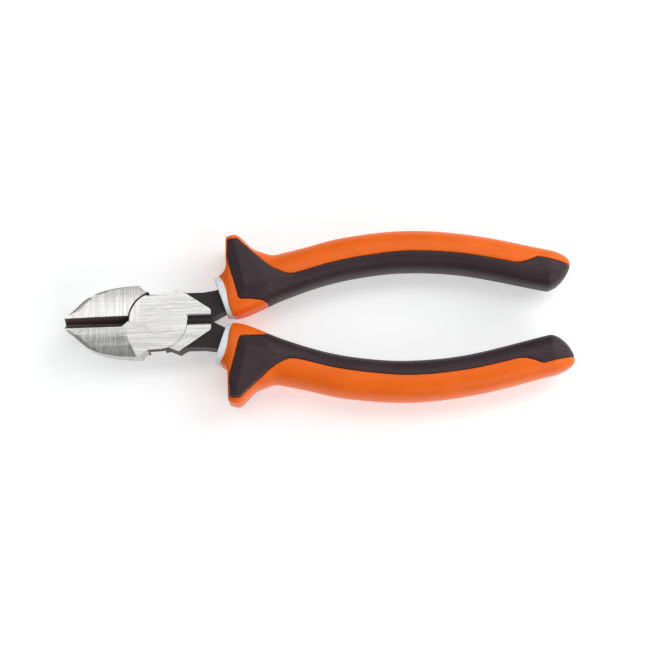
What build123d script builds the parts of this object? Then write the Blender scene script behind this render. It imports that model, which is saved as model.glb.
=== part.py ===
from build123d import *
import math
import os

# Diagonal cutting pliers with insulated two-colour handles, in millimetres.
# The pivot axis is Z, the cutting edges point to -X and the handles to +X.
# The half that shows its joint disc on the +Z side carries the +Y handle.
# The other half is the same forging turned half a turn about X.
# Each piece is drawn about the mid plane of the head, then lifted by half its
# thickness, so the origin is the middle of the lower ground face of the joint.

# Overall sizes
nose_x = -33.2
handle_end_x = 146.6
head_thickness = 11.0
handle_thickness = 18.0
guard_thickness = 20.6

# Joint
disc_radius = 10.2
disc_handle_flat = 9.0
disc_flat_x = 2.0
disc_clearance = 0.15
jaw_clearance = 0.7
lap_gap = 0.06
rivet_radius = 3.4
rivet_head_radius = 4.9
rivet_head_depth = 1.5
rivet_running = 0.04

# Jaw
edge_gap = 0.03
jaw_half_width = 12.65
heel_x = -6.4
neck_x = -4.2
nose_half_width = 1.9
groove_half_width = 1.95
groove_nose_share = 1.3
groove_disc_stop = 1.9
groove_disc_runout = 2.1
groove_far_stop = 1.5
crown_radius = 90.0
crown_start_x = -11.0
crown_fall = 4.2
crown_depth = 4.0
heel_flat_x = -7.8

# Belly of the jaw as shares of its length and half width, and corners of the
# neck and of the crown's rear edge as steps from neck_x and crown_start_x
belly_shares = [(0.09, 0.3), (0.3, 0.69), (0.5, 0.875), (0.72, 0.968)]
neck_steps = [(-0.9, 0.75), (0.8, 0.15)]
crown_steps = [(-0.4, 2.5), (-0.1, 5.2)]

# Shank between the joint and the handle
shank_thickness = 9.0
shank_edge = 9.75
shank_end_edge = 10.4
shank_end_x = 20.2
shank_from_x = 10.0
shank_to_x = 16.0
ear_x = 7.2
ear_y = 11.2
flat_nose_x = 18.6
flat_nose_y = 3.6
flat_nose_radius = 1.4
slot_half_width = 1.93
slot_floor_half_width = 0.6
shank_gap = 0.06
crotch_start = 0.5
crotch_middle = (1.9, 1.4)
crotch_end = (1.4, 2.9)

# Tang inside the handle
tang_height = 6.4
tang_depth = 6.0
tang_end_height = 4.6
tang_end_inset = 14.0

# Covering of the handle
neck_x_outside = 17.0
waist_x = 40.0
tail_length = 8.6
tail_rise = 2.0
collar_x = 22.0
collar_lean = 19.0
collar_width = 1.75
sleeve_insets = [(17, 0.9), (24, 1.3), (27, 1.75), (30, 2.4), (36, 3.1), (60, 3.1)]
sleeve_end_inset = 5.0
grip_wall = 2.0
section_power = 2.6

# Guard outline
guard_front_x = 24.2
guard_top_y = 30.45
guard_top_x = 27.6
guard_rim = 0.55
guard_tip_rim = 2.6
guard_core_thickness = 17.2
guard_bevel = 2.6
guard_bevel_drop = 1.3
guard_end_x = 40.6
pad_start = 2.2
pad_turn_y = 14.0
pad_flat = 7.5
pad_length = 22.0
pad_lean = 15.0

# Half the size of the stock that trims the pieces, well past the tool
past = 100.0


def reach(share):
    """Place along the grip, from 0 at the waist behind the guard to 1 at its end."""
    return waist_x + share * (handle_end_x - waist_x)


# Handle edges as (x, y) from the neck to the tail, and its half depth as (x, z)
half_depth = handle_thickness / 2
outer_edge = [
    (neck_x_outside, 14.3),
    (28, 18.9),
    (waist_x, 22.75),
    (reach(0.094), 24.95),
    (reach(0.244), 28.6),
    (reach(0.46), 30.53),
    (reach(0.675), 28.25),
    (reach(0.919), 22.4),
]
inner_edge = [
    (neck_x_outside, 0.9),
    (28, 1.25),
    (34, 2.7),
    (reach(0.0375), 6.8),
    (reach(0.169), 11.5),
    (reach(0.3), 14.35),
    (reach(0.45), 15.6),
    (reach(0.638), 14.15),
    (reach(0.9), 8.0),
]
depth_edge = [
    (neck_x_outside, half_depth - 1.8),
    (30, half_depth - 0.8),
    (reach(0.0375), half_depth - 0.1),
    (reach(0.47), half_depth),
    (reach(0.919), half_depth - 0.3),
]

# Line between the two colours, from the waist over the belly to the notch before the tail
colour_line = [
    (waist_x, 17.8),
    (reach(0.028), 16.2),
    (reach(0.061), 15.1),
    (reach(0.094), 15.64),
    (reach(0.206), 18.8),
    (reach(0.338), 21.1),
    (reach(0.469), 22.1),
    (reach(0.638), 20.65),
    (reach(0.769), 17.95),
    (reach(0.816), 17.0),
    (reach(0.849), 17.6),
    (reach(0.885), 19.0),
]
tail_line_slope = 0.217


def along(points, x):
    """Height of the smooth line through the points at x, straight beyond both ends."""
    slopes = []
    for i in range(len(points)):
        before = points[max(i - 1, 0)]
        after = points[min(i + 1, len(points) - 1)]
        slopes.append((after[1] - before[1]) / (after[0] - before[0]))
    if x <= points[0][0]:
        return points[0][1] + slopes[0] * (x - points[0][0])
    for i in range(len(points) - 1):
        x0, y0 = points[i]
        x1, y1 = points[i + 1]
        if x <= x1:
            span = x1 - x0
            t = (x - x0) / span
            start = (1 + 2 * t) * (1 - t) ** 2 * y0 + t * (1 - t) ** 2 * span * slopes[i]
            return start + t * t * (3 - 2 * t) * y1 + t * t * (t - 1) * span * slopes[i + 1]
    return points[-1][1] + slopes[-1] * (x - points[-1][0])


def layer(line, low, high):
    """Solid between two heights over a closed outline."""
    return Pos(0, 0, low) * extrude(make_face(line), high - low)


def disc(radius, low, high):
    return Pos(0, 0, (low + high) / 2) * Cylinder(radius, high - low)


def jaw_outline():
    """Lower jaw from the blunt nose to the heel and the neck."""
    length = heel_x - nose_x
    curve = [(nose_x, -nose_half_width)]
    for share_x, share_y in belly_shares:
        curve.append((nose_x + share_x * length, -share_y * jaw_half_width))
    curve.append((heel_x, -jaw_half_width))
    belly = Spline(*curve, tangents=[(1, -0.9), (1, -0.02)])
    neck = [(neck_x + step, -disc_radius - drop) for step, drop in neck_steps]
    back = Polyline(
        (heel_x, -jaw_half_width),
        *neck,
        (0, -disc_radius),
        (0, -edge_gap),
        (nose_x, -edge_gap),
        (nose_x, -nose_half_width),
    )
    return make_face([belly] + back.edges())


def ear_outline():
    """Ground flat between the joint disc and the shank, with the rounded nose."""
    corners = Polyline(
        (0, shank_gap / 2),
        (flat_nose_x, shank_gap / 2),
        (flat_nose_x, flat_nose_y),
        (ear_x, ear_y),
        (disc_flat_x, disc_handle_flat),
        (0, disc_handle_flat),
        close=True,
    )
    face = make_face(corners)
    nose = face.vertices().sort_by_distance((flat_nose_x, flat_nose_y, 0))[0]
    return fillet(nose, flat_nose_radius)


def centre(x):
    return (along(outer_edge, x) + along(inner_edge, x)) / 2


def tang_half(x):
    """Half height of the tang, tapering to its end."""
    share = (x - shank_end_x) / (handle_end_x - tang_end_inset - shank_end_x)
    return (tang_height + (tang_end_height - tang_height) * share) / 2


def tang_outline():
    """Shank and tang in one outline, from the joint to the end inside the handle."""
    end_x = handle_end_x - tang_end_inset
    outer = [(shank_end_x, shank_end_edge)]
    inner = [(collar_x + crotch_end[0], crotch_end[1])]
    for share in [0.11, 0.25, 0.37, 0.5, 0.62, 0.75, 0.87, 1]:
        x = shank_end_x + share * (end_x - shank_end_x)
        outer.append((x, centre(x) + tang_half(x)))
        inner.append((x, centre(x) - tang_half(x)))
    top = Spline(*outer, tangents=[(1, 0.3), (1, -0.3)])
    bottom = Spline(*inner, tangents=[(1, 0.45), (1, -0.3)])
    crotch_x = flat_nose_x - crotch_start
    crotch = ThreePointArc((crotch_x, shank_gap / 2), (flat_nose_x + crotch_middle[0], crotch_middle[1]), inner[0])
    joint = Polyline(
        outer[0],
        (shank_to_x, shank_edge),
        (shank_from_x, shank_edge),
        (ear_x, ear_y),
        (disc_flat_x, disc_handle_flat),
        (0, disc_handle_flat),
        (0, shank_gap / 2),
        (crotch_x, shank_gap / 2),
    )
    end = Line(outer[-1], inner[-1])
    return make_face([top, end, bottom, crotch] + joint.edges())


def groove_wedge(x, share):
    """Triangular section of the blade bevel, its edge on the mid plane."""
    width = groove_half_width * share
    depth = head_thickness / 2
    return make_face(Polyline((x, 0.01, 0.0), (x, 0.01, depth + 0.01), (x, -width, depth + 0.01), close=True))


def blade_groove(end_x, runout):
    """Cutter for the bevel of one blade face on the +Z side."""
    cutter = loft([groove_wedge(nose_x - 1, groove_nose_share), groove_wedge(end_x, 1)])
    if runout > 0:
        cutter += loft([groove_wedge(end_x, 1), groove_wedge(end_x + runout, 0.05)])
    return cutter


def crown_cutter(limit):
    """Stock above the ground crown of the jaw, inside an outline."""
    top = head_thickness / 2
    tilt = Rot(0, -crown_fall, 0)
    barrel = Pos(crown_start_x, 0, top) * tilt * Pos(0, 0, -crown_radius) * Rot(0, 90, 0)
    stock = layer(Polyline(*limit, close=True), top - crown_depth, top + 1)
    return stock - barrel * Cylinder(crown_radius, past)


def crown_limits():
    """Outlines of the crowned area on the disc side and on the far side."""
    left = nose_x - 3
    far = -jaw_half_width - 3
    disc_side = [
        (left, 1),
        (crown_start_x, 1),
        *[(crown_start_x + step, -drop) for step, drop in crown_steps],
        (heel_flat_x, -jaw_half_width),
        (heel_flat_x + 0.5, far),
        (left, far),
    ]
    far_side = [(left, 1), (neck_x, 1), (neck_x, far), (left, far)]
    return disc_side, far_side


def slot_cutter(side):
    """Half of the slot between the two shanks, a groove with sloping flanks."""
    top = head_thickness / 2
    floor = shank_thickness / 2
    section = Polyline(
        (0, -1, floor),
        (0, slot_floor_half_width, floor),
        (0, slot_half_width, top + 0.01),
        (0, -1, top + 0.01),
        close=True,
    )
    cut = extrude(make_face(section), amount=past, dir=(1, 0, 0))
    cut -= disc(disc_radius + disc_clearance, -top - 1, top + 1)
    return cut if side > 0 else mirror(cut, Plane.XY)


def forging():
    """One half of the tool: jaw, joint disc on the +Z side, shank and tang."""
    top = head_thickness / 2
    low = lap_gap / 2
    jaw = jaw_outline()
    ear = ear_outline()
    tang = tang_outline()
    disc_flat = Pos(disc_flat_x - past, disc_handle_flat + past) * Rectangle(2 * past, 2 * past)
    front = make_face(jaw.edges()) + Circle(disc_radius) - disc_flat + ear
    solid = Pos(0, 0, low) * extrude(front, top - low)
    back = jaw - Circle(disc_radius + jaw_clearance)
    solid += Pos(0, 0, -top) * extrude(back, top + low)
    shank = tang & Pos(collar_x + 3 - past, 0) * Rectangle(2 * past, 2 * past)
    solid += extrude(shank - Circle(disc_radius + disc_clearance), shank_thickness / 2, both=True)
    solid += Pos(0, 0, low) * extrude(shank, shank_thickness / 2 - low)
    solid += Pos(0, 0, -top) * extrude(ear - Circle(disc_radius + disc_clearance), top)
    buried = tang - Pos(collar_x + 2 - past, 0) * Rectangle(2 * past, 2 * past)
    solid += extrude(buried, tang_depth / 2, both=True)
    disc_side, far_side = crown_limits()
    solid -= crown_cutter(disc_side)
    solid -= mirror(crown_cutter(far_side), Plane.XY)
    solid -= blade_groove(crown_start_x - groove_disc_stop, groove_disc_runout)
    solid -= mirror(blade_groove(crown_start_x + groove_far_stop, 0), Plane.XY)
    solid -= slot_cutter(1)
    solid -= slot_cutter(-1)
    return solid


def rivet_profile(extra):
    """Turned rivet with a countersunk head flush with each face."""
    top = head_thickness / 2
    body = disc(rivet_radius + extra, -top, top)
    for end in (-1, 1):
        head = Cone(rivet_radius + extra, rivet_head_radius + extra, rivet_head_depth)
        head = Pos(0, 0, top - rivet_head_depth / 2) * head
        body += head if end > 0 else mirror(head, Plane.XY)
    return body


def turned_over(shape):
    """The same piece on the other half of the tool."""
    return Rot(180, 0, 0) * shape


def section(x, inset, shrink=1.0, shift=0.0):
    """Rounded section of the handle across X, set in from its surface."""
    half_height = ((along(outer_edge, x) - along(inner_edge, x)) / 2) * shrink - inset
    half_z = along(depth_edge, x) * shrink ** 0.7 - inset
    points = []
    for i in range(16):
        angle = 2 * math.pi * (i + 0.5) / 16
        y = math.copysign(abs(math.cos(angle)) ** (2 / section_power), math.cos(angle))
        z = math.copysign(abs(math.sin(angle)) ** (2 / section_power), math.sin(angle))
        points.append((x, centre(x) + shift + half_height * y, half_z * z))
    return make_face(Spline(*points, periodic=True))


def covering(insets, end_x):
    """Lofted handle body set in from the handle surface, with a rounded slanting tail."""
    tail_x = end_x - tail_length
    sections = []
    for x in [neck_x_outside, 22, 28, 34]:
        sections.append(section(x, along(insets, x)))
    for share in [0, 0.06, 0.14, 0.24, 0.36, 0.49, 0.62, 0.74, 0.86]:
        x = waist_x + share * (tail_x - waist_x)
        sections.append(section(x, along(insets, x)))
    sections.append(section(tail_x, along(insets, tail_x)))
    for share in (0.35, 0.6, 0.8, 0.94):
        x = tail_x + share * (end_x - tail_x)
        shrink = (1 - share ** 1.6) ** 0.625
        shift = centre(tail_x) - centre(x) + tail_rise * share ** 2.5
        sections.append(section(x, along(insets, x) * shrink, shrink, shift))
    tip = Vertex(end_x, centre(tail_x) + tail_rise, 0)
    return loft(sections + [tip])


def behind_collar(distance):
    """Space behind a plane that leans as the collar does, at a distance along the handle."""
    lean = Rot(0, 0, collar_lean)
    start = Pos(collar_x, centre(collar_x), 0) * lean * Pos(distance + past, 0, 0)
    return start * Box(2 * past, 2 * past, 2 * past)


def guard_orange_outline():
    """Outline of the hard guard, from the neck over the tip to the waist."""
    left = guard_front_x
    rise = Spline((left - 2.2, 15.6), (left - 0.5, 17.8), (left, 20.5), tangents=[(1, 0.25), (0, 1)])
    side = Line((left, 20.5), (left, guard_top_y - 1.8))
    tip = Spline(
        (left, guard_top_y - 1.8),
        (left + 0.9, guard_top_y - 0.6),
        (guard_top_x, guard_top_y),
        (guard_top_x + 1.9, guard_top_y - 1.0),
        tangents=[(0, 1), (1, -1)],
    )
    fall = Spline(
        (guard_top_x + 1.9, guard_top_y - 1.0),
        (guard_top_x + 5.2, guard_top_y - 4.6),
        (guard_end_x, along(outer_edge, guard_end_x)),
        tangents=[(1, -1), (1, 0.05)],
    )
    inside = Polyline(
        (guard_end_x, along(outer_edge, guard_end_x)),
        (guard_end_x, 12),
        (guard_top_x + 2, 9),
        (left - 2.2, 15.6),
    )
    return make_face([rise, side, tip, fall] + inside.edges())


def grip_zone_outline():
    """Region of the soft grip seen along Z: its guard pad and the inner side of the handle."""
    left = guard_front_x + guard_rim
    pad_top = guard_top_y - guard_tip_rim
    peak = colour_line[-1]
    end_x = handle_end_x + 4
    end_y = peak[1] - tail_line_slope * (end_x - peak[0])
    rim = Polyline(
        colour_line[0],
        (guard_top_x + 5.4, guard_top_y - 6.2),
        (guard_top_x + 1.1, pad_top),
        (left, pad_top),
        (left, 21),
        (left + 4.0, 6.9),
        (left + 11.6, 6.3),
        (left + 14.6, 5.4),
        (left + 15.6, -10),
        (end_x, -10),
        (end_x, end_y),
        peak,
    )
    line = Spline(*colour_line, tangents=[(1, -0.75), (1, 0.3)])
    return make_face(rim.edges() + [line])


def guard_pad():
    """Raised facets of the soft pad on both faces of the guard."""
    half = guard_thickness / 2
    low = half - guard_bevel_drop
    flat_end = guard_bevel + pad_flat
    end = guard_bevel + pad_length
    profile = Polyline((0, low), (guard_bevel, half), (flat_end, half), (end, low), (end, 0), (0, 0), close=True)
    slab = extrude(Plane.XZ * make_face(profile), past, both=True)
    slab += mirror(slab, Plane.XY)
    return Pos(guard_front_x + guard_rim + pad_start, pad_turn_y, 0) * Rot(0, 0, pad_lean) * slab


def handle_parts(metal):
    """Inner sleeve, outer sleeve with the guard, and soft grip of one handle."""
    body = covering([(0, 0), (1, 0)], handle_end_x)
    lining = covering(sleeve_insets, handle_end_x - sleeve_end_inset)
    core = covering([(0, grip_wall), (1, grip_wall)], handle_end_x - grip_wall)
    front = behind_collar(0)
    shoulder = behind_collar(collar_width)
    collar = (body & front) - shoulder
    sleeve = collar + (lining & shoulder) - metal
    guard = guard_orange_outline()
    hard = (body & shoulder) + extrude(guard, guard_core_thickness / 2, both=True)
    zone = extrude(grip_zone_outline(), past, both=True)
    pad = extrude(guard & grip_zone_outline(), guard_thickness / 2, both=True) & guard_pad()
    soft = ((body & shoulder) + pad) & zone
    soft -= core
    soft -= extrude(guard, guard_core_thickness / 2 - grip_wall, both=True)
    hard -= soft
    hard -= lining
    hard -= metal
    return sleeve, hard, soft


def main():
    os.makedirs("parts", exist_ok=True)
    metal = forging()
    rivet = rivet_profile(0)
    sleeve, hard, soft = handle_parts(metal)
    parts = {
        "front_half": metal - rivet_profile(rivet_running),
        "rear_half": turned_over(metal) - rivet,
        "pivot_rivet": rivet,
        "front_inner_sleeve": sleeve,
        "rear_inner_sleeve": turned_over(sleeve),
        "front_outer_sleeve": hard,
        "rear_outer_sleeve": turned_over(hard),
        "front_soft_grip": soft,
        "rear_soft_grip": turned_over(soft),
    }
    lift = Pos(0, 0, head_thickness / 2)
    for name, shape in parts.items():
        export_step(lift * shape, f"parts/{name}.step")


main()
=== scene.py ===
"""Diagonal cutting pliers with two-colour insulated handles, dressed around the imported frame."""
import math

import bmesh
import bpy
from mathutils import Matrix, Vector


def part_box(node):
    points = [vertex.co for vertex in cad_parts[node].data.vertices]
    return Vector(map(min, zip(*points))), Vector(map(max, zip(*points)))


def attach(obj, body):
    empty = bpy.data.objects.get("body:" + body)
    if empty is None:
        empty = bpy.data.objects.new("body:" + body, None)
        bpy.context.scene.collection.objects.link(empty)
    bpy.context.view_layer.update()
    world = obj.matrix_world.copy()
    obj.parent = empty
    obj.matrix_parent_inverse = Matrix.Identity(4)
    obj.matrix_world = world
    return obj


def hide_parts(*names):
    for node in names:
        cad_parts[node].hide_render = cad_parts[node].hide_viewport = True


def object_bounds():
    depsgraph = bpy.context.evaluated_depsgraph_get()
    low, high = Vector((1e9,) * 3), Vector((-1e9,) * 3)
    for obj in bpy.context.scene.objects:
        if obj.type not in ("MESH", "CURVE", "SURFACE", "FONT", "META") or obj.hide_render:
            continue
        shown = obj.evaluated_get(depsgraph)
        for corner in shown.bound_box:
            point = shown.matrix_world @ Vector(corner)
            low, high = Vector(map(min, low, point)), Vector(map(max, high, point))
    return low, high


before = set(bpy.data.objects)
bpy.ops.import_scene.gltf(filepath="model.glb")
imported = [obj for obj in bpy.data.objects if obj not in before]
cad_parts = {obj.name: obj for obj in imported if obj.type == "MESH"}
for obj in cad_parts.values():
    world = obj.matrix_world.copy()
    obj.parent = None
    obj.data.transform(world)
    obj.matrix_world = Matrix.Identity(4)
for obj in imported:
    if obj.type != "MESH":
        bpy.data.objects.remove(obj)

bl_info = {
    "name": "Insulated diagonal cutters",
    "version": (1, 0, 0),
    "blender": (4, 5, 0),
    "location": "3D View > Sidebar > Cutters",
    "description": "Builds the forgings, rivet, insulation and grips of a pair of diagonal cutters",
    "category": "Object",
}

MM = 0.001
RIVET_LOW, RIVET_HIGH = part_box("pivot_rivet")
MID_Z = (RIVET_LOW.z + RIVET_HIGH.z) / 2
HEAD_HALF = (RIVET_HIGH.z - RIVET_LOW.z) / 2 / MM
FRAME_LOW, FRAME_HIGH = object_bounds()

# Sizes are in millimetres where nothing else is said, x along the tool from the pivot and y across it

# Edges of the handle as (x, y), from the neck to the tail
OUTER_EDGE = [
    (17, 14.3), (28, 18.9), (40, 22.7), (50, 25.0), (66, 28.75), (89, 30.65), (112, 28.4), (138, 22.6)]
INNER_EDGE = [
    (17, 0.9), (28, 1.3), (34, 3.1), (44, 7.35), (58, 12.05), (72, 14.9), (88, 16.15), (108, 14.7),
    (136, 8.6)]
# Half depths of the handle as (x, z)
HARD_DEPTH = [(17, 7.2), (30, 8.2), (44, 8.9), (90, 9.0), (138, 8.7)]
SOFT_DEPTH = [(17, 8.0), (28, 10.1), (36, 10.1), (46, 9.25), (56, 9.05), (90, 9.05), (138, 8.75)]
# Outer edge and half depth of the finger guard
GUARD_EDGE = [
    (17, 30.9), (24, 30.9), (27.9, 30.62), (29.2, 29.8), (32, 26.95), (34, 25.2), (36, 24.45), (38, 23.8),
    (40, 23.2), (44, 23.45), (50, 25.05)]
GUARD_DEPTH = [(17, 2.0), (20.5, 3.5), (22.5, 6.2), (24.2, 7.7), (26.5, 8.6), (34, 8.7), (44, 8.8), (60, 8.9)]
# How square the section is, as (x, power): 2 is an ellipse, and more is squarer
PLAIN_POWER = [(17, 2.6), (60, 2.6)]
GUARD_POWER = [(17, 4.5), (30, 4.5), (36, 3.3), (44, 2.6), (60, 2.6)]
# Where the soft grip meets the outer sleeve on the handle's faces, as (x, y) to its peak near the tail
COLOUR_LINE = [
    (40, 17.8), (43, 16.2), (46.5, 15.1), (50, 15.64), (62, 18.8), (76, 21.1), (90, 22.1), (108, 20.65),
    (122, 17.95), (127, 17.0), (130.5, 17.6), (134.3, 19.0)]
COLOUR_LINE_RISE = [(31.2, 25.4), (36.0, 21.2)]
COLOUR_LINE_START = 36.0
COLOUR_LINE_STEPS = 90
COLOUR_LINE_FALL = 0.217

# Corners of outlines seen along Z, as (x, y, radius)
GUARD_CORNERS = [
    (15, -5, 0), (15, 14.2, 0), (20.6, 15.35, 0), (24.2, 16.75, 3.4), (24.2, 29.4, 0.9), (28.26, 30.62, 1.5),
    (32.6, 27.6, 0), (60, 27.6, 0), (60, -5, 0)]
GRIP_FRONT_CORNERS = [
    (31.2, 25.4, 1.5), (28.7, 28.0, 0.7), (24.85, 28.0, 0.5), (24.8, 21.2, 6.0), (28.75, 6.75, 0.7),
    (36.5, 6.35, 2.0), (39.4, 5.2, 1.0), (40.6, -10, 0)]
PAD_CORNERS = [
    (24.0, 29, 0), (24.0, 20, 0), (28.0, 10.0, 0), (36, 9, 0), (44, 14.5, 0), (47, 15.6, 0), (40, 19, 0),
    (29.5, 29, 0)]
# Facets of the raised pad: a point as (x, y) and the outward normal
PAD_FACETS = [
    ((28.2, 23.0), (-0.386, -0.091, 0.918)),
    ((34.5, 19.5), (0.151, 0.082, 0.985)),
    ((31.0, 10.5), (0.073, -0.367, 0.927)),
]
# How far the cutting shapes reach past the pieces that they cut
BELOW_HANDLE_Y = -10
PAST_TAIL = 4
GUARD_BACK_X = 48
PAD_BACK_X = 54
TRIM_HALF = 20
ZONE_HALF = 30
# The guard is set in, and the soft grip stands out, so that no two faces share a plane
GUARD_INSET = 0.03
GRIP_PROUD = 0.04

# The handle body starts under the guard and rounds off to the tail at these shares of its length
HANDLE_START_X = 17
TAIL_LENGTH = 8.6
TAIL_SHARES = (
    0, 0.08, 0.16, 0.24, 0.32, 0.4, 0.48, 0.56, 0.64, 0.71, 0.78, 0.84, 0.89, 0.93, 0.96, 0.98, 0.992, 0.998)
TAIL_POWER = 1.6
TAIL_DEPTH_POWER = 0.7
TAIL_RISE = 2.0
TAIL_RISE_POWER = 2.5
HANDLE_SEGMENTS = 72
COLLAR_Y = 8.3
COLLAR_HIDDEN = 1.5
COLLAR_DETAIL = 0.2

# The jaws are ground to a crown that falls towards the nose from CROWN_START_X
CROWN_START_X = -11.0
CROWN_RADIUS = 90.0
CROWN_FALL = math.radians(4.2)
# How near the crown a point lies to be taken as on it, and to be drawn onto it
ON_CROWN = 0.02
NEAR_CROWN = 0.06
# Where the grinding streaks turn: a slanting step on the half with the disc, and NECK_X on the other
CROWN_X = -11.2
CROWN_STEP_Y = 5.2
CROWN_SLANT = 0.443
NECK_X = -6.5
# Width of the softly broken edges
FORGING_BREAK = 0.18
RIVET_BREAK = 0.04

# Where each finish of the steel fades, from none of it to all of it
GROUND_DEPTH = (0.32, 0.22)
JAW_BACK_X = (-3.6, -4.4)
GROOVE_HALF = (2.1, 2.0)
# Darkest and brightest share of the steel's colour in the streaks, and how far the streaks are stretched
STEEL_SHADES = (0.76, 1.06)
FLAT_STRETCH = (170.0, 4600.0, 300.0)
JAW_STRETCH = (5200.0, 240.0, 300.0)
BUMP_DISTANCE = 0.05

# The stage in metres: half the floor's width, its drop below the tool, and the point looked at
FLOOR_HALF = 3.0
FLOOR_DROP = 0.02 * MM
VIEW_AIM_X = 0.0587
VIEW_AIM_Y = -0.0022
# Soft lights: name, place from the tool's middle, size, and power in watts
LIGHTS = (
    ("overhead", (-0.03, 0.25, 0.79), (1.2, 0.26), 2.1),
    ("key", (0.7, 0.45, 0.6), (1.0, 0.6), 5.4),
    ("fill", (0.65, -0.7, 0.6), (1.0, 0.6), 4.8),
)
HANDLE_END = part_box("front_outer_sleeve")[1].x / MM


class CutterHandleSizes(bpy.types.PropertyGroup):
    collar_x: bpy.props.FloatProperty(
        name="Collar place", description="Where the inner insulation shows, along the handle, in millimetres",
        default=22.0)
    collar_lean: bpy.props.FloatProperty(
        name="Collar lean", description="Lean of the collar", default=math.radians(19), subtype="ANGLE")
    collar_width: bpy.props.FloatProperty(
        name="Collar width", description="Width of the collar, in millimetres", default=1.75)
    grip_wall: bpy.props.FloatProperty(
        name="Grip wall", description="Thickness of the soft grip, in millimetres", default=1.8)
    pad_half: bpy.props.FloatProperty(
        name="Pad half depth", description="Half depth over the pads on the guard, in millimetres",
        default=(FRAME_HIGH.z - FRAME_LOW.z) / 2 / MM)
    skin_detail: bpy.props.FloatProperty(
        name="Skin detail", description="Size of the mesh faces on the moulded pieces, in millimetres",
        default=0.34)


class CutterColours(bpy.types.PropertyGroup):
    steel: bpy.props.FloatVectorProperty(
        name="Ground steel", description="Colour of the ground faces",
        default=(0.60, 0.595, 0.585), subtype="COLOR")
    oxide: bpy.props.FloatVectorProperty(
        name="Dark oxide", description="Colour of the steel that isn't ground",
        default=(0.024, 0.016, 0.018), subtype="COLOR")
    groove: bpy.props.FloatVectorProperty(
        name="Groove", description="Colour of the dark relief between the cutting edges",
        default=(0.12, 0.08, 0.082), subtype="COLOR")
    orange: bpy.props.FloatVectorProperty(
        name="Orange", description="Colour of the outer insulation",
        default=(0.95, 0.155, 0.006), subtype="COLOR")
    charcoal: bpy.props.FloatVectorProperty(
        name="Charcoal", description="Colour of the soft grip",
        default=(0.046, 0.028, 0.033), subtype="COLOR")
    white: bpy.props.FloatVectorProperty(
        name="White", description="Colour of the inner insulation",
        default=(0.84, 0.90, 0.95), subtype="COLOR")


class CutterStage(bpy.types.PropertyGroup):
    view_tilt: bpy.props.FloatProperty(
        name="View tilt", description="Angle of the camera from straight down",
        default=math.radians(10), subtype="ANGLE")
    view_roll: bpy.props.FloatProperty(
        name="View roll", description="Turn of the camera about its own axis",
        default=math.radians(1.5), subtype="ANGLE")
    view_distance: bpy.props.FloatProperty(
        name="View distance", description="Distance of the camera", default=0.6, unit="LENGTH")
    view_width: bpy.props.FloatProperty(
        name="View width", description="Width of the view at the middle of the tool",
        default=0.23075, unit="LENGTH")


# Lines and outlines

def along(points, x):
    """Height of the smooth line through the points at x, straight beyond both ends."""
    slopes = []
    for i in range(len(points)):
        before = points[max(i - 1, 0)]
        after = points[min(i + 1, len(points) - 1)]
        slopes.append((after[1] - before[1]) / (after[0] - before[0]))
    if x <= points[0][0]:
        return points[0][1] + slopes[0] * (x - points[0][0])
    for i in range(len(points) - 1):
        x0, y0 = points[i]
        x1, y1 = points[i + 1]
        if x <= x1:
            span = x1 - x0
            t = (x - x0) / span
            start = (1 + 2 * t) * (1 - t) ** 2 * y0 + t * (1 - t) ** 2 * span * slopes[i]
            return start + t * t * (3 - 2 * t) * y1 + t * t * (t - 1) * span * slopes[i + 1]
    return points[-1][1] + slopes[-1] * (x - points[-1][0])


def centre_line(x):
    """Middle of the handle's two edges."""
    return (along(OUTER_EDGE, x) + along(INNER_EDGE, x)) / 2


def rounded(corners, steps=8):
    """Closed outline through corners given as (x, y, radius)."""
    line = []
    for i, (x, y, radius) in enumerate(corners):
        here = Vector((x, y))
        if radius <= 0:
            line.append(here)
            continue
        back = (Vector(corners[i - 1][:2]) - here).normalized()
        ahead = (Vector(corners[(i + 1) % len(corners)][:2]) - here).normalized()
        half = back.angle(ahead) / 2
        middle = here + (back + ahead).normalized() * radius / math.sin(half)
        start = here + back * radius / math.tan(half) - middle
        end = here + ahead * radius / math.tan(half) - middle
        turn = start.angle_signed(end)
        for step in range(steps + 1):
            line.append(middle + Matrix.Rotation(-turn * step / steps, 2) @ start)
    return line


# Mesh tools

def shape_from(bm, name):
    """Object with the mesh of bm, normals outward."""
    bmesh.ops.recalc_face_normals(bm, faces=bm.faces[:])
    mesh = bpy.data.meshes.new(name)
    bm.to_mesh(mesh)
    bm.free()
    shape = bpy.data.objects.new(name, mesh)
    bpy.context.scene.collection.objects.link(shape)
    return shape


def remove(*shapes):
    """Deletes helper shapes with their meshes."""
    for shape in shapes:
        mesh = shape.data
        bpy.data.objects.remove(shape)
        bpy.data.meshes.remove(mesh)


def settle(shape):
    """Applies the modifiers of a shape to its mesh."""
    graph = bpy.context.evaluated_depsgraph_get()
    mesh = bpy.data.meshes.new_from_object(shape.evaluated_get(graph))
    old = shape.data
    shape.modifiers.clear()
    shape.data = mesh
    bpy.data.meshes.remove(old)
    return shape


def combine(shape, tool, operation):
    """Joins, cuts or keeps what two shapes share."""
    change = shape.modifiers.new("combine", "BOOLEAN")
    change.operation = operation
    change.solver = "EXACT"
    change.object = tool
    return settle(shape)


def prism(outline, low, high, name):
    """Solid over an outline between two heights."""
    bm = bmesh.new()
    corners = [bm.verts.new((point[0], point[1], low)) for point in outline]
    base = bm.faces.new(corners)
    raised = bmesh.ops.extrude_face_region(bm, geom=[base])
    lifted = [item for item in raised["geom"] if isinstance(item, bmesh.types.BMVert)]
    bmesh.ops.translate(bm, verts=lifted, vec=(0, 0, high - low))
    return shape_from(bm, name)


def ring_edges(ring):
    """Edges between neighbours of a ring of vertices."""
    members = set(ring)
    return list({edge for vert in ring for edge in vert.link_edges if edge.other_vert(vert) in members})


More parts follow.
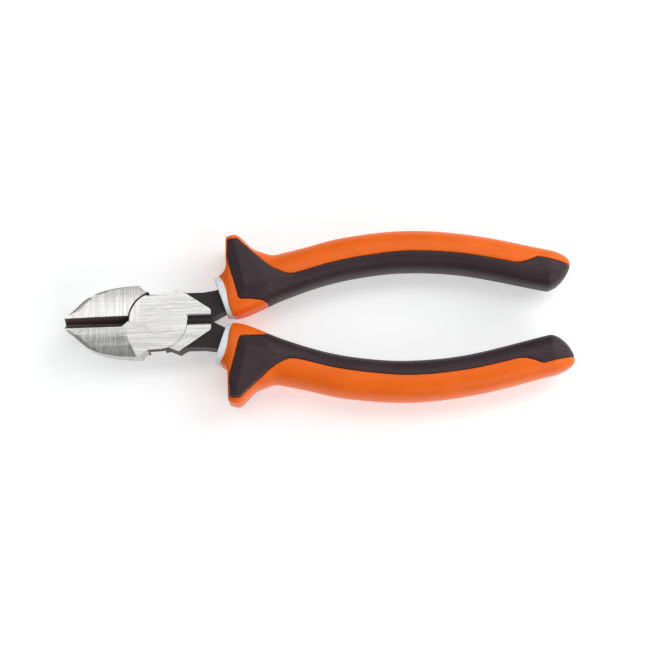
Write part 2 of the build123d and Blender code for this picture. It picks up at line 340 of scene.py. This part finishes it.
def handle_stations(end, step):
    """Places along the handle as (x, shrink, shift): even steps, then the tail rounding off."""
    tail = end - TAIL_LENGTH
    count = round((tail - HANDLE_START_X) / step)
    stations = [(HANDLE_START_X + i * (tail - HANDLE_START_X) / count, 1.0, 0.0) for i in range(count)]
    for share in TAIL_SHARES:
        x = tail + share * TAIL_LENGTH
        shift = centre_line(tail) - centre_line(x) + TAIL_RISE * share ** TAIL_RISE_POWER
        stations.append((x, (1 - share ** TAIL_POWER) ** (1 / TAIL_POWER), shift))
    return stations


def handle_body(depth_line, inset, name, outer=OUTER_EDGE, power_line=PLAIN_POWER, step=1.2):
    """Closed body of the handle from the neck to the rounded, slanting tail."""
    bm = bmesh.new()
    rings = []
    for x, shrink, shift in handle_stations(HANDLE_END - inset, step):
        ring = bmesh.ops.create_circle(bm, segments=HANDLE_SEGMENTS, radius=1.0)["verts"]
        middle = (along(outer, x) + along(INNER_EDGE, x)) / 2 + shift
        half_height = ((along(outer, x) - along(INNER_EDGE, x)) / 2 - inset) * shrink
        half_depth = (along(depth_line, x) - inset) * shrink ** TAIL_DEPTH_POWER
        power = along(power_line, x)
        for i, vert in enumerate(ring):
            angle = 2 * math.pi * (i + 0.5) / HANDLE_SEGMENTS
            y = math.copysign(abs(math.cos(angle)) ** (2 / power), math.cos(angle))
            z = math.copysign(abs(math.sin(angle)) ** (2 / power), math.sin(angle))
            vert.co = (x, middle + half_height * y, half_depth * z)
        rings.append(ring)
    for ring, following in zip(rings, rings[1:]):
        bmesh.ops.bridge_loops(bm, edges=ring_edges(ring) + ring_edges(following))
    bmesh.ops.contextual_create(bm, geom=rings[0])
    bmesh.ops.contextual_create(bm, geom=rings[-1])
    return shape_from(bm, name)


def slice_off(shape, point, normal):
    """Removes what lies beyond a plane and closes the cut."""
    bm = bmesh.new()
    bm.from_mesh(shape.data)
    cut = bmesh.ops.bisect_plane(
        bm, geom=bm.verts[:] + bm.edges[:] + bm.faces[:], dist=1e-5,
        plane_co=point, plane_no=normal, clear_outer=True)
    rim = [item for item in cut["geom_cut"] if isinstance(item, bmesh.types.BMEdge)]
    bmesh.ops.holes_fill(bm, edges=rim)
    bm.to_mesh(shape.data)
    bm.free()
    return shape


def skin(shape, detail, passes):
    """Even, softly rounded skin over a shape, as a moulded piece has."""
    remesh = shape.modifiers.new("skin", "REMESH")
    remesh.mode = "VOXEL"
    remesh.voxel_size = detail
    settle(shape)
    bm = bmesh.new()
    bm.from_mesh(shape.data)
    for _ in range(passes):
        bmesh.ops.smooth_vert(
            bm, verts=bm.verts[:], factor=0.5, use_axis_x=True, use_axis_y=True, use_axis_z=True)
    bm.to_mesh(shape.data)
    bm.free()
    return shape


def place(shape, name, turned=False):
    """Copy of a shape in metres about the mid plane, turned half a turn about X for the rear half."""
    mesh = shape.data.copy()
    move = Matrix.Translation((0, 0, MID_Z)) @ Matrix.Scale(MM, 4)
    if turned:
        move = move @ Matrix.Rotation(math.pi, 4, "X")
    mesh.transform(move)
    mesh.name = name
    mesh.shade_smooth()
    piece = bpy.data.objects.new(name, mesh)
    bpy.context.scene.collection.objects.link(piece)
    return piece


def dress(piece, body, node, material):
    """Gives a piece its body and its finish, and hides the node it stands for."""
    piece.data.materials.clear()
    piece.data.materials.append(material)
    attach(piece, body)
    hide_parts(node)


# Shader tools

def add(tree, kind, **values):
    """New shader node with its settings and the plain values or links of its inputs."""
    node = tree.nodes.new(kind)
    links = values.pop("links", {})
    plain = values.pop("plain", {})
    for key, value in values.items():
        setattr(node, key, value)
    for key, value in plain.items():
        node.inputs[key].default_value = value
    for key, source in links.items():
        tree.links.new(source, node.inputs[key])
    return node


def math_node(tree, operation, *inputs):
    """Output of a maths node whose inputs are numbers or links."""
    node = add(tree, "ShaderNodeMath", operation=operation)
    for i, value in enumerate(inputs):
        if isinstance(value, (int, float)):
            node.inputs[i].default_value = value
        else:
            tree.links.new(value, node.inputs[i])
    return node.outputs[0]


def new_group(name, inputs, outputs):
    """Shader node group with float, vector or colour sockets."""
    group = bpy.data.node_groups.new(name, "ShaderNodeTree")
    for socket_name, kind, value in inputs:
        socket = group.interface.new_socket(name=socket_name, in_out="INPUT", socket_type="NodeSocket" + kind)
        if value is not None:
            socket.default_value = value
    for socket_name, kind in outputs:
        group.interface.new_socket(name=socket_name, in_out="OUTPUT", socket_type="NodeSocket" + kind)
    enter = group.nodes.new("NodeGroupInput")
    leave = group.nodes.new("NodeGroupOutput")
    return group, enter, leave


def fine_grain_group():
    """Fine moulded texture: a height for bump, and a soft mottling."""
    group, enter, leave = new_group(
        "fine_grain",
        [("Scale", "Float", 4000.0), ("Mottle Scale", "Float", 60.0)],
        [("Height", "Float"), ("Mottle", "Float")])
    place_on = add(group, "ShaderNodeTexCoord").outputs["Object"]
    grain = add(group, "ShaderNodeTexNoise", plain={"Detail": 3.0, "Roughness": 0.6},
                links={"Vector": place_on, "Scale": enter.outputs["Scale"]})
    mottle = add(group, "ShaderNodeTexNoise", plain={"Detail": 4.0, "Roughness": 0.55},
                 links={"Vector": place_on, "Scale": enter.outputs["Mottle Scale"]})
    group.links.new(grain.outputs[0], leave.inputs["Height"])
    group.links.new(mottle.outputs[0], leave.inputs["Mottle"])
    return group


def brushed_group():
    """Streaks left by grinding, long across one direction and fine across the other."""
    group, enter, leave = new_group(
        "brushed", [("Stretch", "Vector", (40.0, 3000.0, 400.0))], [("Streak", "Float"), ("Broad", "Float")])
    place_on = add(group, "ShaderNodeTexCoord").outputs["Object"]
    fine_place = add(group, "ShaderNodeVectorMath", operation="MULTIPLY",
                     links={0: place_on, 1: enter.outputs["Stretch"]}).outputs[0]
    fine = add(group, "ShaderNodeTexNoise", plain={"Scale": 1.0, "Detail": 4.0, "Roughness": 0.65},
               links={"Vector": fine_place})
    broad_place = add(group, "ShaderNodeVectorMath", operation="SCALE", plain={"Scale": 0.3},
                      links={0: fine_place}).outputs[0]
    broad = add(group, "ShaderNodeTexNoise", plain={"Scale": 1.0, "Detail": 2.0, "Roughness": 0.5},
                links={"Vector": broad_place})
    group.links.new(fine.outputs[0], leave.inputs["Streak"])
    group.links.new(broad.outputs[0], leave.inputs["Broad"])
    return group


def use_group(tree, group, **plain):
    """Places a node group with its inputs, named with _ for a space."""
    node = tree.nodes.new("ShaderNodeGroup")
    node.node_tree = group
    for key, value in plain.items():
        node.inputs[key.replace("_", " ")].default_value = value
    return node


def new_material(name):
    """Material with its node tree and its Principled shader."""
    material = bpy.data.materials.new(name)
    material.use_nodes = True
    tree = material.node_tree
    return material, tree, tree.nodes["Principled BSDF"]


# Sockets of the Mix node: its factor, and its two values or colours
MIX_FACTOR, MIX_LOW, MIX_HIGH, MIX_LOW_COLOUR, MIX_HIGH_COLOUR = 0, 2, 3, 6, 7
MIXED_VALUE, MIXED_COLOUR = 0, 2


def tone(tree, factor, low, high):
    """Colour between two colours by a factor."""
    mix = add(tree, "ShaderNodeMix", data_type="RGBA", links={MIX_FACTOR: factor},
              plain={MIX_LOW_COLOUR: (*low, 1), MIX_HIGH_COLOUR: (*high, 1)})
    return mix.outputs[MIXED_COLOUR]


def between(tree, factor, low, high):
    """Value between two values by a factor."""
    mix = add(tree, "ShaderNodeMix", data_type="FLOAT",
              links={MIX_FACTOR: factor, MIX_LOW: low, MIX_HIGH: high})
    return mix.outputs[MIXED_VALUE]


def ramp(tree, value, low, high, out_low=0.0, out_high=1.0):
    """Smooth step of a value from low to high."""
    node = add(tree, "ShaderNodeMapRange", interpolation_type="SMOOTHSTEP",
               plain={"From Min": low, "From Max": high, "To Min": out_low, "To Max": out_high},
               links={"Value": value})
    return node.outputs[0]


def moulded(name, colour, roughness, shade, grain, bump):
    """Moulded plastic: fine grain, faint mottling in colour and gloss."""
    material, tree, shader = new_material(name)
    group = bpy.data.node_groups.get("fine_grain") or fine_grain_group()
    texture = use_group(tree, group, Scale=grain, Mottle_Scale=90.0)
    factor = ramp(tree, texture.outputs["Mottle"], 0.35, 0.65)
    tree.links.new(tone(tree, factor, [c * shade for c in colour], colour), shader.inputs["Base Color"])
    rough = ramp(tree, texture.outputs["Mottle"], 0.3, 0.7, roughness - 0.04, roughness + 0.05)
    tree.links.new(rough, shader.inputs["Roughness"])
    height = add(tree, "ShaderNodeBump", plain={"Strength": bump, "Distance": BUMP_DISTANCE * MM},
                 links={"Height": texture.outputs["Height"]})
    tree.links.new(height.outputs[0], shader.inputs["Normal"])
    shader.inputs["Specular IOR Level"].default_value = 0.25
    return material


def crown_group():
    """Where the jaws are ground to a crown: 1 there, and 0 on the level faces of the head."""
    group, enter, leave = new_group("crowned", [("Neck", "Float", -0.0042)], [("Crown", "Float")])
    place_on = add(group, "ShaderNodeTexCoord").outputs["Object"]
    spot = add(group, "ShaderNodeSeparateXYZ", links={0: place_on}).outputs
    side = math_node(group, "SIGN", math_node(group, "SUBTRACT", spot[2], MID_Z))
    across = math_node(group, "MULTIPLY", spot[1], side)
    slant = math_node(group, "MULTIPLY", math_node(group, "ADD", across, CROWN_STEP_Y * MM), -CROWN_SLANT)
    edge = math_node(group, "ADD", math_node(group, "MAXIMUM", slant, 0.0), CROWN_X * MM)
    disc_side = ramp(group, math_node(group, "SUBTRACT", spot[0], edge), 0.1 * MM, -0.1 * MM)
    far_side = math_node(group, "MULTIPLY", ramp(group, across, -0.5 * MM, 0.0),
                         math_node(group, "LESS_THAN", spot[0], enter.outputs["Neck"]))
    group.links.new(math_node(group, "MAXIMUM", disc_side, far_side), leave.inputs["Crown"])
    return group


def steel_material(colours, group, crown):
    """Steel ground bright on the head's flats and jaws, dark oxide everywhere else."""
    material, tree, shader = new_material("forged_steel")
    coordinates = add(tree, "ShaderNodeTexCoord")
    spot = add(tree, "ShaderNodeSeparateXYZ", links={0: coordinates.outputs["Object"]}).outputs
    facing = add(tree, "ShaderNodeSeparateXYZ", links={0: coordinates.outputs["Normal"]}).outputs
    height = math_node(tree, "ABSOLUTE", math_node(tree, "SUBTRACT", spot[2], MID_Z))
    upright = math_node(tree, "ABSOLUTE", facing[2])
    flat = math_node(tree, "MULTIPLY",
                     ramp(tree, height, *((HEAD_HALF - depth) * MM for depth in GROUND_DEPTH)),
                     ramp(tree, upright, 0.45, 0.6))
    side = math_node(tree, "ABSOLUTE", spot[1])
    on_jaw = ramp(tree, spot[0], *(x * MM for x in JAW_BACK_X))
    in_groove = math_node(tree, "MULTIPLY",
                          ramp(tree, side, *(half * MM for half in GROOVE_HALF)),
                          ramp(tree, upright, 0.75, 0.65))
    in_groove = math_node(tree, "MULTIPLY", in_groove, on_jaw)
    jaw = math_node(tree, "SUBTRACT", on_jaw, in_groove)
    bright = math_node(tree, "MAXIMUM", flat, jaw)
    flat_streaks = use_group(tree, group, Stretch=FLAT_STRETCH)
    jaw_streaks = use_group(tree, group, Stretch=JAW_STRETCH)
    crowned = use_group(tree, crown, Neck=NECK_X * MM).outputs["Crown"]
    streak = between(tree, crowned, flat_streaks.outputs["Streak"], jaw_streaks.outputs["Streak"])
    broad = between(tree, crowned, flat_streaks.outputs["Broad"], jaw_streaks.outputs["Broad"])
    shade = ramp(tree, math_node(tree, "ADD", streak, broad), 0.8, 1.2)
    worn = tone(tree, shade, *([c * share for c in colours.steel] for share in STEEL_SHADES))
    dark = tone(tree, in_groove, colours.oxide, colours.groove)
    mix = add(tree, "ShaderNodeMix", data_type="RGBA",
              links={MIX_FACTOR: bright, MIX_LOW_COLOUR: dark, MIX_HIGH_COLOUR: worn})
    tree.links.new(mix.outputs[MIXED_COLOUR], shader.inputs["Base Color"])
    ground_rough = ramp(tree, streak, 0.3, 0.7, 0.24, 0.34)
    rough = add(tree, "ShaderNodeMix", data_type="FLOAT", plain={MIX_LOW: 0.5},
                links={MIX_FACTOR: bright, MIX_HIGH: ground_rough})
    tree.links.new(rough.outputs[MIXED_VALUE], shader.inputs["Roughness"])
    metal = ramp(tree, bright, 0.0, 1.0)
    tree.links.new(metal, shader.inputs["Metallic"])
    shader.inputs["Specular IOR Level"].default_value = 0.3
    bump = add(tree, "ShaderNodeBump", plain={"Strength": 0.6, "Distance": BUMP_DISTANCE * MM},
               links={"Height": streak})
    tree.links.new(bump.outputs[0], shader.inputs["Normal"])
    return material


# Pieces

def above_crown(spot):
    """Height of a point above the ground crown of the jaws, in millimetres."""
    x, y = spot.x / MM, spot.y / MM
    drop = (CROWN_RADIUS - math.sqrt(CROWN_RADIUS ** 2 - y ** 2)) / math.cos(CROWN_FALL)
    return abs(spot.z - MID_Z) / MM - (HEAD_HALF + (x - CROWN_START_X) * math.tan(CROWN_FALL) - drop)


def refine_crown(bm, cuts=7):
    """Divide the crowned faces of the jaws finely and lay them on the true crown."""
    crowned = [face for face in bm.faces if abs(face.normal.z) > 0.98
               and all(abs(above_crown(vert.co)) < ON_CROWN for vert in face.verts)]
    if not crowned:
        return
    crowned = bmesh.ops.triangulate(bm, faces=crowned)["faces"]
    edges = list({edge for face in crowned for edge in face.edges})
    fine = bmesh.ops.subdivide_edges(bm, edges=edges, cuts=cuts, use_grid_fill=True)["geom"]
    for vert in fine:
        if isinstance(vert, bmesh.types.BMVert) and abs(above_crown(vert.co)) < NEAR_CROWN:
            vert.co.z -= math.copysign(above_crown(vert.co) * MM, vert.co.z - MID_Z)


def forged_piece(node, name, bevel):
    """Copy of a forging with its facets merged and its edges softly broken."""
    bm = bmesh.new()
    bm.from_mesh(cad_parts[node].data)
    bm.transform(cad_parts[node].matrix_world)
    bmesh.ops.remove_doubles(bm, verts=bm.verts[:], dist=1e-7)
    bmesh.ops.dissolve_limit(
        bm, angle_limit=math.radians(0.6), use_dissolve_boundaries=False,
        verts=bm.verts[:], edges=bm.edges[:], delimit={"NORMAL"})
    refine_crown(bm)
    mesh = bpy.data.meshes.new(name)
    bm.to_mesh(mesh)
    bm.free()
    piece = bpy.data.objects.new(name, mesh)
    bpy.context.scene.collection.objects.link(piece)
    soften = piece.modifiers.new("edges", "BEVEL")
    soften.width = bevel
    soften.segments = 2
    soften.limit_method = "ANGLE"
    soften.angle_limit = math.radians(28)
    settle(piece)
    piece.data.shade_smooth()
    piece.data.set_sharp_from_angle(angle=math.radians(20))
    flatten = piece.modifiers.new("flat faces", "WEIGHTED_NORMAL")
    flatten.keep_sharp = True
    flatten.weight = 100
    settle(piece)
    return piece


class OBJECT_OT_cutter_forgings(bpy.types.Operator):
    """Build both forged halves and the rivet from the frame, with ground and oxide finishes"""
    bl_idname = "object.cutter_forgings"
    bl_label = "Forgings and rivet"

    def execute(self, context):
        colours = context.scene.cutter_colours
        brushed = brushed_group()
        steel = steel_material(colours, brushed, crown_group())
        for half in ("front", "rear"):
            forging = forged_piece(half + "_half", half + "_forging", FORGING_BREAK * MM)
            dress(forging, half + "_body", half + "_half", steel)
        rivet = forged_piece("pivot_rivet", "rivet", RIVET_BREAK * MM)
        dress(rivet, "rear_body", "pivot_rivet", steel)
        return {"FINISHED"}


def collar_plane(sizes, distance):
    """Point and normal of a plane along the leaning collar."""
    normal = Vector((math.cos(sizes.collar_lean), math.sin(sizes.collar_lean), 0))
    return Vector((sizes.collar_x, COLLAR_Y, 0)) + normal * distance, normal


def guard_body(inset, name):
    """Finger guard and the waist behind it, set in from their surface."""
    guard = handle_body(GUARD_DEPTH, inset + GUARD_INSET, name, GUARD_EDGE, GUARD_POWER)
    slice_off(guard, Vector((GUARD_BACK_X, 0, 0)), Vector((1, 0, 0)))
    outline = prism(rounded(GUARD_CORNERS), -TRIM_HALF, TRIM_HALF, "trim")
    combine(guard, outline, "INTERSECT")
    remove(outline)
    return guard


def grip_core(sizes):
    """What the soft grip is moulded over: the handle and guard, set in by the grip's wall."""
    core = handle_body(HARD_DEPTH, sizes.grip_wall, "core")
    flange = guard_body(sizes.grip_wall, "flange")
    combine(core, flange, "UNION")
    remove(flange)
    return core


def grip_outline():
    """Outline of the soft grip seen along Z, past the handle on its inner side."""
    peak_x, peak_y = COLOUR_LINE[-1]
    beyond = HANDLE_END + PAST_TAIL
    line = rounded(GRIP_FRONT_CORNERS + [(beyond, BELOW_HANDLE_Y, 0)])
    line.append(Vector((beyond, peak_y - COLOUR_LINE_FALL * (beyond - peak_x))))
    for i in range(COLOUR_LINE_STEPS + 1):
        x = peak_x + (COLOUR_LINE_START - peak_x) * i / COLOUR_LINE_STEPS
        line.append(Vector((x, along(COLOUR_LINE_RISE + COLOUR_LINE, x))))
    return line


def guard_bulge(sizes):
    """Raised soft body over the guard on both faces, cut to its facets."""
    half = sizes.pad_half
    bulge = handle_body(SOFT_DEPTH, 0.0, "bulge")
    slice_off(bulge, Vector((PAD_BACK_X, 0, 0)), Vector((1, 0, 0)))
    pad = prism(rounded(PAD_CORNERS), -half, half, "pad")
    combine(bulge, pad, "UNION")
    for side in (1, -1):
        for point, normal in PAD_FACETS:
            slice_off(bulge, Vector((*point, side * half)), Vector((normal[0], normal[1], side * normal[2])))
    remove(pad)
    return bulge


class OBJECT_OT_cutter_inner_sleeves(bpy.types.Operator):
    """Build the white inner insulation that shows as a collar in front of each guard"""
    bl_idname = "object.cutter_inner_sleeves"
    bl_label = "Inner sleeves"

    def execute(self, context):
        sizes = context.scene.cutter_handle
        colours = context.scene.cutter_colours
        collar = handle_body(HARD_DEPTH, 0.0, "collar", step=1.0)
        point, normal = collar_plane(sizes, 0)
        slice_off(collar, point, -normal)
        point, normal = collar_plane(sizes, sizes.collar_width + COLLAR_HIDDEN)
        slice_off(collar, point, normal)
        skin(collar, COLLAR_DETAIL, 5)
        white = moulded("white_plastic", colours.white, roughness=0.42, shade=0.94, grain=2500.0, bump=0.2)
        for turned, half in ((False, "front"), (True, "rear")):
            piece = place(collar, half + "_collar", turned)
            dress(piece, half + "_body", half + "_inner_sleeve", white)
        remove(collar)
        return {"FINISHED"}


class OBJECT_OT_cutter_outer_sleeves(bpy.types.Operator):
    """Build the orange outer insulation with its finger guard, sunk where the soft grip lies"""
    bl_idname = "object.cutter_outer_sleeves"
    bl_label = "Outer sleeves"

    def execute(self, context):
        sizes = context.scene.cutter_handle
        colours = context.scene.cutter_colours
        hard = handle_body(HARD_DEPTH, 0.0, "hard")
        guard = guard_body(0.0, "guard")
        combine(hard, guard, "UNION")
        point, normal = collar_plane(sizes, sizes.collar_width)
        slice_off(hard, point, -normal)
        zone = prism(grip_outline(), -ZONE_HALF, ZONE_HALF, "zone")
        core = grip_core(sizes)
        combine(zone, core, "DIFFERENCE")
        combine(hard, zone, "DIFFERENCE")
        skin(hard, sizes.skin_detail, 4)
        orange = moulded(
            "orange_plastic", colours.orange, roughness=0.40, shade=0.93, grain=2600.0, bump=0.25)
        for turned, half in ((False, "front"), (True, "rear")):
            piece = place(hard, half + "_orange_sleeve", turned)
            dress(piece, half + "_body", half + "_outer_sleeve", orange)
        remove(hard, guard, zone, core)
        return {"FINISHED"}


class OBJECT_OT_cutter_soft_grips(bpy.types.Operator):
    """Build the charcoal soft grip: the faceted pad on the guard and the inner side of the handle"""
    bl_idname = "object.cutter_soft_grips"
    bl_label = "Soft grips"

    def execute(self, context):
        sizes = context.scene.cutter_handle
        colours = context.scene.cutter_colours
        soft = handle_body(HARD_DEPTH, -GRIP_PROUD, "soft")
        bulge = guard_bulge(sizes)
        combine(soft, bulge, "UNION")
        zone = prism(grip_outline(), -ZONE_HALF, ZONE_HALF, "zone")
        combine(soft, zone, "INTERSECT")
        core = grip_core(sizes)
        combine(soft, core, "DIFFERENCE")
        skin(soft, sizes.skin_detail, 4)
        charcoal = moulded(
            "charcoal_rubber", colours.charcoal, roughness=0.47, shade=0.85, grain=2600.0, bump=0.4)
        for turned, half in ((False, "front"), (True, "rear")):
            piece = place(soft, half + "_grip", turned)
            dress(piece, half + "_body", half + "_soft_grip", charcoal)
        remove(soft, bulge, zone, core)
        return {"FINISHED"}


# Stage

def soft_light(name, place_at, aim, size, watts):
    """Rectangular light at a place, turned to an aim."""
    data = bpy.data.lights.new(name, "AREA")
    data.shape = "RECTANGLE"
    data.size, data.size_y = size
    data.energy = watts
    light = bpy.data.objects.new(name, data)
    light.location = place_at
    light.rotation_euler = (aim - place_at).to_track_quat("-Z", "Y").to_euler()
    bpy.context.scene.collection.objects.link(light)


class OBJECT_OT_cutter_stage(bpy.types.Operator):
    """Build the pale floor, the soft studio light and the camera"""
    bl_idname = "object.cutter_stage"
    bl_label = "Stage"

    def execute(self, context):
        settings = context.scene.cutter_stage
        bm = bmesh.new()
        bmesh.ops.create_grid(bm, x_segments=1, y_segments=1, size=FLOOR_HALF)
        bmesh.ops.translate(bm, verts=bm.verts[:], vec=(0, 0, FRAME_LOW.z - FLOOR_DROP))
        floor = shape_from(bm, "floor")
        material, _, shader = new_material("pale_floor")
        shader.inputs["Base Color"].default_value = (0.8, 0.8, 0.8, 1)
        shader.inputs["Emission Color"].default_value = (0.99, 1.0, 1.0, 1)
        shader.inputs["Emission Strength"].default_value = 0.4
        shader.inputs["Roughness"].default_value = 0.9
        shader.inputs["Specular IOR Level"].default_value = 0.1
        floor.data.materials.append(material)

        world = bpy.data.worlds.new("studio")
        world.use_nodes = True
        background = world.node_tree.nodes["Background"]
        background.inputs["Color"].default_value = (0.97, 0.98, 1.0, 1)
        background.inputs["Strength"].default_value = 0.27
        context.scene.world = world
        context.scene.view_settings.view_transform = "Standard"

        middle = Vector(((FRAME_LOW.x + FRAME_HIGH.x) / 2, 0, MID_Z))
        for name, place_at, size, watts in LIGHTS:
            soft_light(name, middle + Vector(place_at), middle, size, watts)

        data = bpy.data.cameras.new("view")
        data.sensor_width = 36.0
        data.lens = data.sensor_width * settings.view_distance / settings.view_width
        data.clip_start = 0.05
        camera = bpy.data.objects.new("view", data)
        context.scene.collection.objects.link(camera)
        aim = Vector((VIEW_AIM_X, VIEW_AIM_Y / math.cos(settings.view_tilt), MID_Z))
        away = Vector((0, -math.sin(settings.view_tilt), math.cos(settings.view_tilt)))
        right = Vector((1, 0, 0))
        up = away.cross(right)
        turn = Matrix.Rotation(-settings.view_roll, 3, away)
        right = turn @ right
        up = turn @ up
        camera.matrix_world = Matrix.Translation(aim + away * settings.view_distance) @ Matrix(
            (right, up, away)).transposed().to_4x4()
        context.scene.camera = camera
        return {"FINISHED"}


class VIEW3D_PT_cutters(bpy.types.Panel):
    """Lists the sizes, the colours and the steps of the cutters"""
    bl_label = "Insulated diagonal cutters"
    bl_idname = "VIEW3D_PT_cutters"
    bl_space_type = "VIEW_3D"
    bl_region_type = "UI"
    bl_category = "Cutters"

    def draw(self, context):
        for group in (context.scene.cutter_handle, context.scene.cutter_colours, context.scene.cutter_stage):
            for name in group.bl_rna.properties.keys():
                if name not in ("rna_type", "name"):
                    self.layout.prop(group, name)
        for operator in OPERATORS:
            self.layout.operator(operator.bl_idname)


OPERATORS = (
    OBJECT_OT_cutter_forgings,
    OBJECT_OT_cutter_inner_sleeves,
    OBJECT_OT_cutter_outer_sleeves,
    OBJECT_OT_cutter_soft_grips,
    OBJECT_OT_cutter_stage,
)
CLASSES = (CutterHandleSizes, CutterColours, CutterStage, *OPERATORS, VIEW3D_PT_cutters)


def register():
    for item in CLASSES:
        bpy.utils.register_class(item)
    bpy.types.Scene.cutter_handle = bpy.props.PointerProperty(type=CutterHandleSizes)
    bpy.types.Scene.cutter_colours = bpy.props.PointerProperty(type=CutterColours)
    bpy.types.Scene.cutter_stage = bpy.props.PointerProperty(type=CutterStage)


def unregister():
    del bpy.types.Scene.cutter_stage
    del bpy.types.Scene.cutter_colours
    del bpy.types.Scene.cutter_handle
    for item in reversed(CLASSES):
        bpy.utils.unregister_class(item)


def main():
    register()
    bpy.ops.object.cutter_forgings()
    bpy.ops.object.cutter_inner_sleeves()
    bpy.ops.object.cutter_outer_sleeves()
    bpy.ops.object.cutter_soft_grips()
    bpy.ops.object.cutter_stage()


if __name__ == "__main__":
    main()
